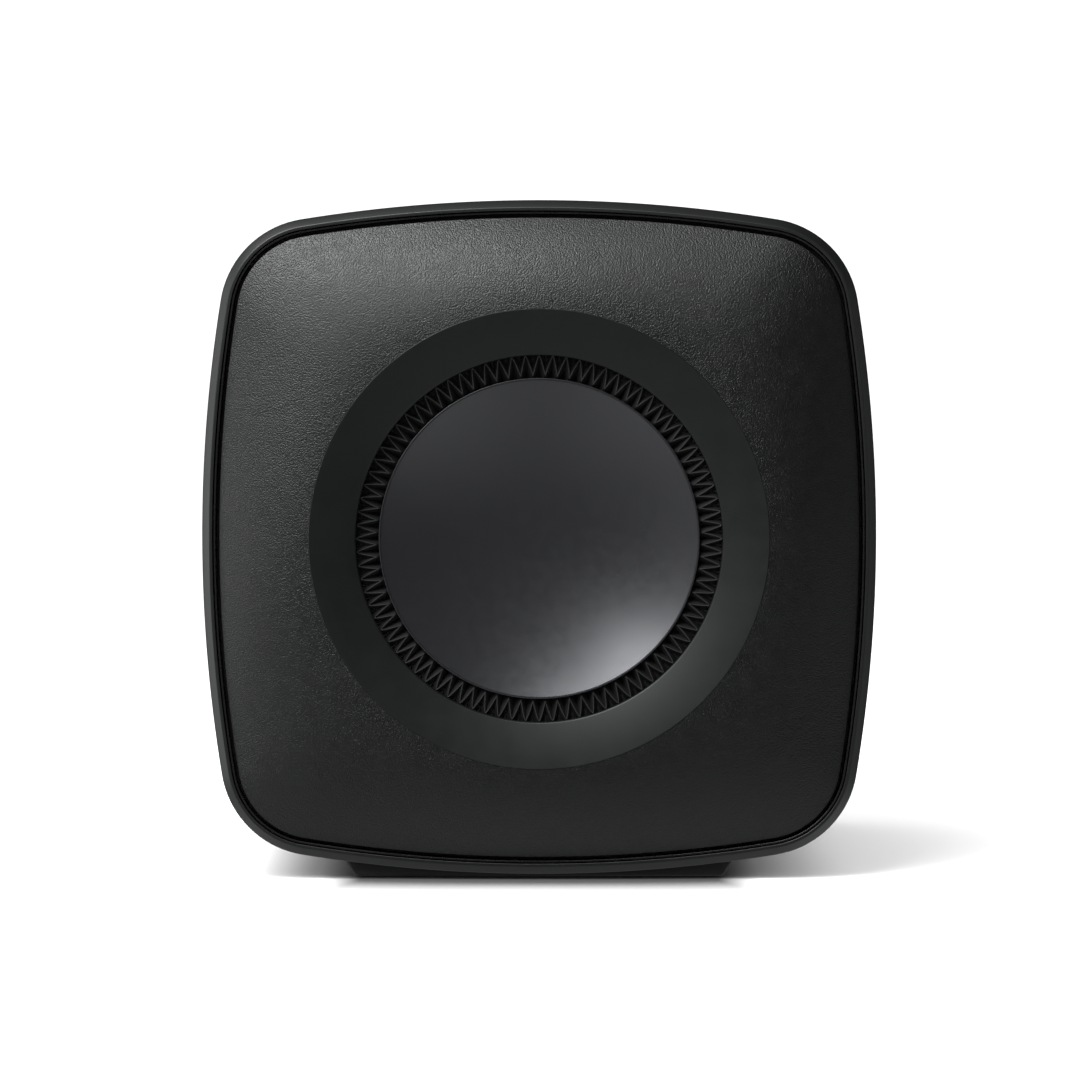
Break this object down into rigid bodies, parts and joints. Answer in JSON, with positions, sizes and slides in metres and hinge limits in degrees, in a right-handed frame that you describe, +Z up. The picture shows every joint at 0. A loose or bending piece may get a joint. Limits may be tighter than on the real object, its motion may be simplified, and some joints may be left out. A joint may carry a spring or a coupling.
{
  "type": "subwoofer",
  "caption": "Compact active subwoofer: a rounded-square sleeve with opposed pleated-surround drivers, a low foot and a recessed rear panel of knobs, switches and sockets.",
  "frame": {"origin": "on the floor, under the middle of the cabinet", "axes": "+Z up, +Y along the driver axis to the far driver, +X out of the rear amplifier panel"},
  "size_m": [0.244, 0.256, 0.246],
  "materials": {
    "sleeve": "anodised or powder-coated black, satin",
    "skin": "moulded skin with a fine leather grain, matt black",
    "trim": "thin satin black lip",
    "bezel": "smooth matt charcoal",
    "cone_metal": "satin anodised dark grey, faintly blue",
    "surround_rubber": "matt black rubber, pleated",
    "foot": "matt black moulding",
    "pad_rubber": "matt black rubber",
    "foam_rubber": "closed-cell foam rubber",
    "fibreboard": "dense fibreboard, stained black",
    "basket_metal": "die-cast, black powder coat",
    "winding": "enamelled copper wire",
    "spider_cloth": "resin-treated woven cloth",
    "plated_steel": "zinc plated",
    "ferrite": "sintered ferrite, dark grey",
    "bare_aluminium": "extruded, uncoated",
    "cast_panel": "die-cast, fine black texture coat",
    "circuit_board": "green solder mask",
    "capacitor_case": "black sleeved can",
    "socket_plastic": "black moulding",
    "control_plastic": "black moulding, satin",
    "light_pipe": "frosted clear",
    "lead_rubber": "black insulation"
  },
  "bodies": {
    "cabinet": {"cabinet_sleeve": "sleeve", "base_foot": "foot", "motor_tie": "bare_aluminium", "brace_frame": "fibreboard", "amp_panel": "cast_panel", "panel_frame": "cast_panel", "panel_gasket": "foam_rubber", "control_board": "circuit_board", "amp_board": "circuit_board", "supply_board": "circuit_board", "heat_sink": "bare_aluminium", "transformer": "winding", "capacitor_left": "capacitor_case", "capacitor_right": "capacitor_case", "power_inlet": "socket_plastic", "speaker_terminal": "socket_plastic", "line_input_jacks": "socket_plastic", "line_output_jacks": "socket_plastic", "expansion_port": "socket_plastic", "power_switch_frame": "socket_plastic", "status_light": "light_pipe", "foot_pad_near_left": "pad_rubber", "foot_pad_near_right": "pad_rubber", "foot_pad_far_left": "pad_rubber", "foot_pad_far_right": "pad_rubber", "trim_lip_near": "trim", "side_panel_near": "skin", "baffle_near": "fibreboard", "bezel_ring_near": "bezel", "driver_gasket_near": "foam_rubber", "driver_basket_near": "basket_metal", "surround_near": "surround_rubber", "spider_near": "spider_cloth", "front_plate_near": "plated_steel", "magnet_near": "ferrite", "back_plate_near": "plated_steel", "driver_lead_near": "lead_rubber", "trim_lip_far": "trim", "side_panel_far": "skin", "baffle_far": "fibreboard", "bezel_ring_far": "bezel", "driver_gasket_far": "foam_rubber", "driver_basket_far": "basket_metal", "surround_far": "surround_rubber", "spider_far": "spider_cloth", "front_plate_far": "plated_steel", "magnet_far": "ferrite", "back_plate_far": "plated_steel", "driver_lead_far": "lead_rubber"},
    "near_cone": {"cone_near": "cone_metal", "voice_coil_near": "winding"},
    "far_cone": {"cone_far": "cone_metal", "voice_coil_far": "winding"},
    "volume_knob": {"volume_knob": "control_plastic"},
    "crossover_knob": {"crossover_knob": "control_plastic"},
    "eq_button": {"eq_button": "control_plastic"},
    "phase_switch": {"phase_switch": "control_plastic"},
    "mode_switch": {"mode_switch": "control_plastic"},
    "ground_switch": {"ground_switch": "control_plastic"},
    "power_rocker": {"power_rocker": "control_plastic"}
  },
  "joints": [
    {"name": "near_cone_stroke", "type": "slide", "parent": "cabinet", "child": "near_cone", "axis": [0, -1, 0], "range_m": [-0.007, 0.007], "stiffness_N_per_m": 2500, "deforming": ["surround_near", "spider_near"]},
    {"name": "far_cone_stroke", "type": "slide", "parent": "cabinet", "child": "far_cone", "axis": [0, 1, 0], "range_m": [-0.007, 0.007], "stiffness_N_per_m": 2500, "deforming": ["surround_far", "spider_far"]},
    {"name": "volume_knob_turn", "type": "hinge", "parent": "cabinet", "child": "volume_knob", "pos_m": [0.114, -0.05, 0.166], "axis": [1, 0, 0], "range_deg": [-140, 140]},
    {"name": "crossover_knob_turn", "type": "hinge", "parent": "cabinet", "child": "crossover_knob", "pos_m": [0.114, -0.02, 0.166], "axis": [1, 0, 0], "range_deg": [-140, 140]},
    {"name": "eq_button_press", "type": "slide", "parent": "cabinet", "child": "eq_button", "axis": [-1, 0, 0], "range_m": [0, 0.0012], "stiffness_N_per_m": 800},
    {"name": "phase_switch_slide", "type": "slide", "parent": "cabinet", "child": "phase_switch", "axis": [0, 1, 0], "range_m": [0, 0.004]},
    {"name": "mode_switch_slide", "type": "slide", "parent": "cabinet", "child": "mode_switch", "axis": [0, 1, 0], "range_m": [0, 0.004]},
    {"name": "ground_switch_slide", "type": "slide", "parent": "cabinet", "child": "ground_switch", "axis": [0, 1, 0], "range_m": [0, 0.004]},
    {"name": "power_rocker_tilt", "type": "hinge", "parent": "cabinet", "child": "power_rocker", "pos_m": [0.11, 0.006, 0.086], "axis": [0, -1, 0], "range_deg": [0, 16]}
  ],
  "couplings": [
    {"joint": "far_cone_stroke", "follows": "near_cone_stroke", "ratio": 1}
  ]
}
